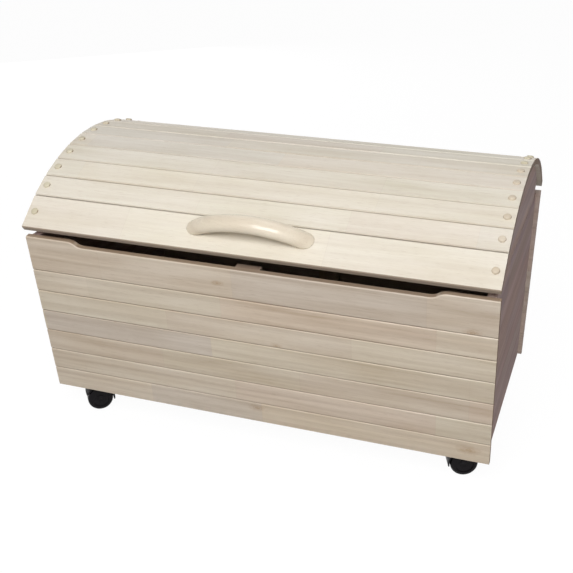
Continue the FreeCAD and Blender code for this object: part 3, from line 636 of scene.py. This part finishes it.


# Lid slats: a wide slat at the front and the back and ten narrow ones between, each glued and screwed
# to its flat on the end boards. They carry more lime than the walls, and their tone is whiter still as painted
# sheen, so they are paler. Their joints are darkened with painted shade, most on the wide front and back slats.

# Partly real lime, partly painted sheen: the lid tone is paler and whiter than the walls' to stand in for the
# lacquer's sheen in the light.
LID_LIME_AND_SHEEN_TONE = (0.76, 0.72, 0.61)
LID_SLATS = ["lid_front_slat"] + [f"lid_slat_{number}" for number in range(1, 11)] + ["lid_back_slat"]
WIDE_HALF = math.radians(5.0222)
NARROW_HALF = math.radians(3.45556)
# Painted shade on the slats' shaded edges and lower bevels: strong on the wide front and back slats, light on
# the narrow ones.
WIDE_GROOVE_PAINTED_SHADE = 0.9
NARROW_GROOVE_PAINTED_SHADE = 0.25
halves = [WIDE_HALF] + [NARROW_HALF] * 10 + [WIDE_HALF]
slat_turns = [half + 2 * sum(halves[:number]) - sum(halves) for number, half in enumerate(halves)]
for number, (name, turn) in enumerate(zip(LID_SLATS, slat_turns)):
    up_arch = (0, math.copysign(math.cos(turn), -turn), abs(math.sin(turn)))
    slat = wood(f"{name}_wood", 111.9 + 3.3 * number, ALONG, up_arch, LID_LIME_AND_SHEEN_TONE, sheen=0.1, lime=0.45,
                variety=0.55, painted_groove_shade=WIDE_GROOVE_PAINTED_SHADE if turn in (slat_turns[0], slat_turns[-1]) else NARROW_GROOVE_PAINTED_SHADE)
    dress(nodes[name], slat)


# Buttons: a turned wooden cap over each screw, two to a slat, lacquered like the lid. Each is a low
# dome pressed into its hole in the middle of the slat.

BUTTON_RADIUS = 0.0065
BUTTON_HEIGHT = 0.0034
BUTTON_SHOULDER = 0.0026
BUTTON_CROWN = 0.0016
BUTTON_CROWN_RISE = 0.0002
BUTTON_TONE = (0.65, 0.595, 0.46)
BUTTON_X = 0.411
ARCH_RADIUS = 0.384959
ARCH_CENTRE_Z = 0.135463
SLAT_THICKNESS = 0.011
cap = begin("button", bpy.ops.mesh.primitive_cylinder_add, vertices=40, radius=BUTTON_RADIUS,
            depth=BUTTON_HEIGHT, location=(0, 0, BUTTON_HEIGHT / 2))
edit(cap, "EDGE", lambda middle, run: middle.z > BUTTON_HEIGHT - 1e-6)
bpy.ops.mesh.bevel(offset=BUTTON_SHOULDER, segments=6)
edit(cap, "FACE", lambda middle, normal: normal.z > 0.99 and middle.xy.length < 0.001)
bpy.ops.mesh.inset(thickness=BUTTON_CROWN)
bpy.ops.transform.translate(value=(0, 0, BUTTON_CROWN_RISE))
done(cap, 60)
dress(cap, wood("button_wood", 151.0, ALONG, BACK, BUTTON_TONE, lime=0.2))
caps = []
for half, turn in zip(halves, slat_turns):
    out = ARCH_RADIUS * math.cos(half) + SLAT_THICKNESS
    for x in (-BUTTON_X, BUTTON_X):
        place = Matrix.Translation((x, out * math.sin(turn), ARCH_CENTRE_Z + out * math.cos(turn)))
        caps.append(copy_to(cap, "cap", place @ Matrix.Rotation(-turn, 4, "X")))
drop(cap)
buttons = join("lid_button_caps", caps)
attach(buttons, "lid")
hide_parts("lid_buttons")


# Grip: an oval bar of pale hardwood bent to a bow and cut flat at its feet, sanded smooth and lacquered.
# It is screwed to the front slat from inside the lid.

GRIP_BOW = 0.1643
GRIP_HALF_WIDTH = 0.016
GRIP_FLATTENING = 22 / 32
GRIP_DROP = 0.1323
GRIP_UP_SLAT = 0.0095
GRIP_FOOT_EDGE = 0.0018
GRIP_TONE = (0.74, 0.685, 0.56)
grip = begin("lid_grip_bow", bpy.ops.mesh.primitive_circle_add, vertices=56, radius=GRIP_HALF_WIDTH)
grip.data.transform(Matrix.Translation((GRIP_BOW, 0, 0)) @ Matrix.Diagonal((GRIP_FLATTENING, 1, 1, 1)))
edit(grip, "EDGE", lambda middle, run: True)
bpy.ops.mesh.spin(steps=240, angle=math.pi, center=(0, 0, 0), axis=(0, 1, 0))
bpy.ops.mesh.select_all(action="SELECT")
bpy.ops.mesh.bisect(plane_co=(0, 0, GRIP_DROP), plane_no=(0, 0, 1), use_fill=True, clear_inner=True)
edit(grip, "EDGE", lambda middle, run: middle.z < GRIP_DROP + 1e-6)
bpy.ops.mesh.bevel(offset=GRIP_FOOT_EDGE, segments=4)
done(grip, 50)
out = ARCH_RADIUS * math.cos(WIDE_HALF) + SLAT_THICKNESS
on_slat = Matrix.Translation((0, 0, ARCH_CENTRE_Z)) @ Matrix.Rotation(-slat_turns[0], 4, "X")
grip.data.transform(on_slat @ Matrix.Translation((0, GRIP_UP_SLAT, out - GRIP_DROP)))
grip_wood = wood("grip_wood", 161.0, ALONG, UP, GRIP_TONE, stave_length=WHOLE_BOARD, dullness=0.25)
grip_wood.node_tree.nodes["Principled BSDF"].inputs["Coat Weight"].default_value = 0.3
dress(grip, grip_wood)
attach(grip, "lid")
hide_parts("lid_grip")


# Studio: a wide pale floor, one large soft lamp above the front, one overhead, three fills and an even sky.

FLOOR_SIZE = 14
FLOOR_DROP = 0.0002
FLOOR_GREY = 0.4
FLOOR_GLOW = 0.85
GLOW_STRENGTH = 1.13
AMBIENT_TINT = (1.0, 0.91, 0.98)
AMBIENT_STRENGTH = 0.14
LAMP_WHITE = (1, 1, 1)
FILL_TINT = (1, 0.97, 1)
FILL_SIZE = 1.8
bpy.ops.object.select_all(action="DESELECT")
bpy.ops.mesh.primitive_plane_add(size=FLOOR_SIZE, location=(0, 0, -FLOOR_DROP))
floor = bpy.context.object
floor.name = "studio_floor"
paper, tree, shader = new_material("studio_paper")
shader.inputs["Base Color"].default_value = (FLOOR_GREY, FLOOR_GREY, FLOOR_GREY, 1)
shader.inputs["Roughness"].default_value = 0.9
glow = node(tree, "ShaderNodeEmission", {"Color": (1, 1, 1, 1), "Strength": GLOW_STRENGTH})
seen = node(tree, "ShaderNodeLightPath").outputs
direct = node(tree, "ShaderNodeMath", {0: seen["Is Camera Ray"], 1: seen["Is Glossy Ray"]}, operation="MAXIMUM")
share = node(tree, "ShaderNodeMath", {0: direct.outputs["Value"], 1: FLOOR_GLOW}, operation="MULTIPLY")
blend = node(tree, "ShaderNodeMixShader", {0: share.outputs["Value"], 1: shader.outputs["BSDF"],
                                           2: glow.outputs["Emission"]})
tree.links.new(blend.outputs["Shader"], tree.nodes["Material Output"].inputs["Surface"])
dress(floor, paper)

world = bpy.data.worlds.new("studio_sky")
bpy.context.scene.world = world
world.use_nodes = True
sky = world.node_tree
sky.nodes.clear()
seen = node(sky, "ShaderNodeLightPath").outputs
ambient = node(sky, "ShaderNodeBackground", {"Color": (*AMBIENT_TINT, 1), "Strength": AMBIENT_STRENGTH})
backdrop = node(sky, "ShaderNodeBackground", {"Color": (1, 1, 1, 1), "Strength": 1.0})
direct = node(sky, "ShaderNodeMath", {0: seen["Is Camera Ray"], 1: seen["Is Glossy Ray"]}, operation="MAXIMUM")
mixed = node(sky, "ShaderNodeMixShader", {0: direct.outputs["Value"], 1: ambient.outputs["Background"],
                                          2: backdrop.outputs["Background"]})
output = node(sky, "ShaderNodeOutputWorld")
sky.links.new(mixed.outputs["Shader"], output.inputs["Surface"])


def lamp(name, place, target, size, power, colour):
    """A square soft box aimed at a point."""
    light = bpy.data.lights.new(name, "AREA")
    light.size = size
    light.energy = power
    light.color = colour
    holder = bpy.data.objects.new(name, light)
    holder.location = place
    holder.rotation_euler = (Vector(target) - Vector(place)).to_track_quat("-Z", "Y").to_euler()
    bpy.context.scene.collection.objects.link(holder)
    return holder


lamp("key_lamp", (0.3, -2.2, 2.2), (0.08, 0, 0.3), 1.3, 66, LAMP_WHITE)
lamp("top_lamp", (0.4, 0.1, 2.6), (0.1, 0, 0.4), 1.2, 6, LAMP_WHITE)
for fill, place, power in (
    ("front_fill", (0.3, -3.4, 0.9), 9),
    ("side_fill", (3.1, 0.2, 0.8), 8),
    ("back_fill", (-2.2, 2.6, 0.9), 36),
):
    lamp(fill, place, (0, 0, 0.25), FILL_SIZE, power, FILL_TINT).visible_glossy = False


# Camera: the photograph's own view, from the front and a little to the right, above the lid.

CAMERA_TARGET = Vector((0.0745, -0.269, 0.3708))
AZIMUTH, ELEVATION, ROLL = math.radians(19.72), math.radians(24.64), math.radians(-0.35)
DISTANCE = 1.6389
camera_data = bpy.data.cameras.new("photo_camera")
camera_data.sensor_width = 36
camera_data.lens = 62.06
camera_data.clip_end = 60
camera = bpy.data.objects.new("photo_camera", camera_data)
level = math.cos(ELEVATION)
away = Vector((math.sin(AZIMUTH) * level, -math.cos(AZIMUTH) * level, math.sin(ELEVATION)))
camera.location = CAMERA_TARGET + DISTANCE * away
look = (-away).to_track_quat("-Z", "Y").to_matrix() @ Matrix.Rotation(ROLL, 3, "Z")
camera.rotation_euler = look.to_euler()
bpy.context.scene.collection.objects.link(camera)
bpy.context.scene.camera = camera
bpy.context.scene.view_settings.view_transform = "Standard"
